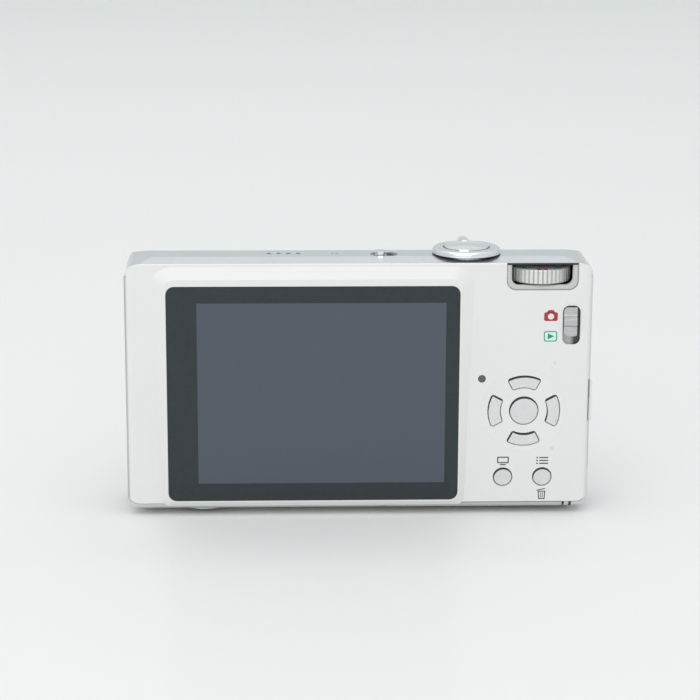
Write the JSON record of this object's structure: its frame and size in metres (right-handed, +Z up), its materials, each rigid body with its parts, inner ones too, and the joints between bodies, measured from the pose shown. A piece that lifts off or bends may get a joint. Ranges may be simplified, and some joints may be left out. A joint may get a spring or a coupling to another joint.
{
  "type": "compact digital camera",
  "caption": "Flat pocket camera with a large rear screen, rear keys, a recessed mode dial, a shutter and zoom ring on top, and a retractable zoom lens behind it.",
  "frame": {"origin": "middle of the bounding box at the resting plane, under the camera", "axes": "+X to the right when facing the screen, +Y from the screen to the lens, +Z up; the camera stands on its base"},
  "size_m": [0.0946, 0.022, 0.0538],
  "materials": {
    "barrel_metal": "anodised, turned",
    "battery_grey": "satin label",
    "bezel_grey": "satin",
    "black_plastic": "fine texture",
    "blade_black": "matt",
    "board_green": "solder mask",
    "brass_contact": "gold plated",
    "bright_trim": "polished",
    "brushed_ring": "spun",
    "capacitor_sleeve": "shrunk sleeve",
    "card_blue": "matt",
    "connector_steel": "stamped",
    "dial_silver": "knurled",
    "dome_steel": "stamped",
    "flash_mirror": "polished",
    "gear_white": "moulded",
    "grey_plastic": "matt",
    "key_white": "satin",
    "knob_silver": "plated",
    "lamp_amber": "clear",
    "lamp_dark": "tinted",
    "lens_glass": "coated",
    "panel": "matt",
    "screen_dark_glass": "dark, polished",
    "screw_steel": "zinc plated",
    "sensor": "glazed",
    "sheet_steel": "stamped",
    "silver_shell": "fine bead-blasted anodised",
    "white_cover": "satin",
    "window_clear": "fresnel moulded"
  },
  "bodies": {
    "case": {"front_cover": "silver_shell", "top_cover": "silver_shell", "rear_cover": "white_cover", "dial_bezel": "bezel_grey", "lens_trim_ring": "brushed_ring", "flash_window": "window_clear", "focus_lamp_lens": "lamp_amber", "status_lamp": "lamp_dark", "screen_glass": "screen_dark_glass", "screen_panel": "panel", "chassis": "sheet_steel", "key_board": "board_green", "key_domes": "dome_steel", "main_board": "board_green", "board_components": "black_plastic", "terminal_jack": "connector_steel", "case_screws": "screw_steel", "tripod_bush": "connector_steel", "strap_eyelet": "bright_trim", "battery_box": "black_plastic", "battery": "battery_grey", "battery_contacts": "brass_contact", "card_socket": "connector_steel", "door_hinge_pin": "screw_steel", "flash_unit": "flash_mirror", "flash_capacitor": "capacitor_sleeve", "speaker": "black_plastic", "top_board": "board_green", "lens_base": "black_plastic", "image_sensor": "sensor", "fixed_barrel": "black_plastic", "zoom_motor": "connector_steel"},
    "lens_guide": {"guide_ring": "black_plastic"},
    "cam": {"cam_ring": "barrel_metal"},
    "inner_lens": {"inner_barrel": "barrel_metal", "front_lens": "lens_glass", "rear_lens": "lens_glass", "front_cap": "black_plastic"},
    "upper_blade": {"barrier_blade_upper": "blade_black"},
    "lower_blade": {"barrier_blade_lower": "blade_black"},
    "long_drive_gear": {"long_gear": "gear_white"},
    "idler": {"idler_gear": "gear_white"},
    "motor_drive_gear": {"motor_gear": "brass_contact"},
    "zoom_ring": {"zoom_lever": "knob_silver", "shutter_spring": "dome_steel"},
    "shutter": {"shutter_button": "bright_trim"},
    "power": {"power_knob": "knob_silver"},
    "dial": {"mode_dial": "dial_silver"},
    "mode_switch": {"mode_slider": "key_white"},
    "door": {"battery_door": "grey_plastic"},
    "release": {"door_release": "black_plastic"},
    "card": {"memory_card": "card_blue"},
    "terminal_cover": {"terminal_door": "grey_plastic"},
    "menu_button_body": {"menu_button": "key_white"},
    "display_button_body": {"display_button": "key_white"},
    "quick_menu_button_body": {"quick_menu_button": "key_white"},
    "cursor_key_up_body": {"cursor_key_up": "key_white"},
    "cursor_key_left_body": {"cursor_key_left": "key_white"},
    "cursor_key_down_body": {"cursor_key_down": "key_white"},
    "cursor_key_right_body": {"cursor_key_right": "key_white"}
  },
  "joints": [
    {"name": "lens_extend", "type": "slide", "parent": "case", "child": "lens_guide", "axis": [0, 1, 0], "range_m": [0, 0.0096]},
    {"name": "cam_turn", "type": "hinge", "parent": "lens_guide", "child": "cam", "pos_m": [-0.011, 0, 0.0248], "axis": [0, 1, 0], "range_deg": [0, 75]},
    {"name": "inner_extend", "type": "slide", "parent": "lens_guide", "child": "inner_lens", "axis": [0, 1, 0], "range_m": [0, 0.0096]},
    {"name": "upper_blade_swing", "type": "hinge", "parent": "inner_lens", "child": "upper_blade", "pos_m": [-0.002, 0.0094, 0.0248], "axis": [0, 1, 0], "range_deg": [0, 40]},
    {"name": "lower_blade_swing", "type": "hinge", "parent": "inner_lens", "child": "lower_blade", "pos_m": [-0.02, 0.0094, 0.0248], "axis": [0, 1, 0], "range_deg": [0, 40]},
    {"name": "long_gear_turn", "type": "hinge", "parent": "case", "child": "long_drive_gear", "pos_m": [-0.02318, 0, 0.03698], "axis": [0, 1, 0], "range_deg": [-470, 10]},
    {"name": "idler_gear_turn", "type": "hinge", "parent": "case", "child": "idler", "pos_m": [-0.02921, 0, 0.03698], "axis": [0, 1, 0], "range_deg": [-10, 315]},
    {"name": "motor_gear_turn", "type": "hinge", "parent": "case", "child": "motor_drive_gear", "pos_m": [-0.03484, 0, 0.03698], "axis": [0, 1, 0], "range_deg": [-560, 10]},
    {"name": "zoom_turn", "type": "hinge", "parent": "case", "child": "zoom_ring", "pos_m": [0.022, -0.00205, 0.0519], "axis": [0, 0, 1], "range_deg": [-22, 22], "stiffness_Nm_per_rad": 0.01},
    {"name": "shutter_press", "type": "slide", "parent": "case", "child": "shutter", "axis": [0, 0, -1], "range_m": [0, 0.0008], "stiffness_N_per_m": 300, "springref_m": -0.0006, "deforming": ["shutter_spring"]},
    {"name": "power_slide", "type": "slide", "parent": "case", "child": "power", "axis": [1, 0, 0], "range_m": [0, 0.0023]},
    {"name": "dial_turn", "type": "hinge", "parent": "case", "child": "dial", "pos_m": [0.0367, -0.00445, 0.0472], "axis": [0, 0, 1], "continuous": true},
    {"name": "mode_slide", "type": "slide", "parent": "case", "child": "mode_switch", "axis": [0, 0, -1], "range_m": [0, 0.0016]},
    {"name": "battery_door_swing", "type": "hinge", "parent": "case", "child": "door", "pos_m": [0.0427, 0, 0.00105], "axis": [0, -1, 0], "range_deg": [0, 90]},
    {"name": "release_slide", "type": "slide", "parent": "door", "child": "release", "axis": [1, 0, 0], "range_m": [0, 0.0016], "stiffness_N_per_m": 60, "springref_m": -0.0008},
    {"name": "card_push", "type": "slide", "parent": "case", "child": "card", "axis": [0, 0, 1], "range_m": [0, 0.0008], "stiffness_N_per_m": 300, "springref_m": -0.0008},
    {"name": "terminal_door_swing", "type": "hinge", "parent": "case", "child": "terminal_cover", "pos_m": [0.0471, -0.0017, 0.0091], "axis": [0, 0, 1], "range_deg": [0, 100]},
    {"name": "menu_button_press", "type": "slide", "parent": "case", "child": "menu_button_body", "axis": [0, 1, 0], "range_m": [0, 0.0003], "stiffness_N_per_m": 200, "springref_m": -0.0004},
    {"name": "display_button_press", "type": "slide", "parent": "case", "child": "display_button_body", "axis": [0, 1, 0], "range_m": [0, 0.0003], "stiffness_N_per_m": 200, "springref_m": -0.0004},
    {"name": "quick_menu_button_press", "type": "slide", "parent": "case", "child": "quick_menu_button_body", "axis": [0, 1, 0], "range_m": [0, 0.0003], "stiffness_N_per_m": 200, "springref_m": -0.0004},
    {"name": "cursor_key_up_press", "type": "slide", "parent": "case", "child": "cursor_key_up_body", "axis": [0, 1, 0], "range_m": [0, 0.0003], "stiffness_N_per_m": 200, "springref_m": -0.0004},
    {"name": "cursor_key_left_press", "type": "slide", "parent": "case", "child": "cursor_key_left_body", "axis": [0, 1, 0], "range_m": [0, 0.0003], "stiffness_N_per_m": 200, "springref_m": -0.0004},
    {"name": "cursor_key_down_press", "type": "slide", "parent": "case", "child": "cursor_key_down_body", "axis": [0, 1, 0], "range_m": [0, 0.0003], "stiffness_N_per_m": 200, "springref_m": -0.0004},
    {"name": "cursor_key_right_press", "type": "slide", "parent": "case", "child": "cursor_key_right_body", "axis": [0, 1, 0], "range_m": [0, 0.0003], "stiffness_N_per_m": 200, "springref_m": -0.0004}
  ],
  "couplings": [
    {"joint": "cam_turn", "follows": "lens_extend", "rad_per_m": 136.35},
    {"joint": "inner_extend", "follows": "lens_extend", "ratio": 1},
    {"joint": "upper_blade_swing", "follows": "lens_extend", "rad_per_m": 72.722},
    {"joint": "lower_blade_swing", "follows": "lens_extend", "rad_per_m": 72.722},
    {"joint": "long_gear_turn", "follows": "lens_extend", "rad_per_m": -840.85},
    {"joint": "idler_gear_turn", "follows": "lens_extend", "rad_per_m": 560.57},
    {"joint": "motor_gear_turn", "follows": "lens_extend", "rad_per_m": -1009}
  ]
}
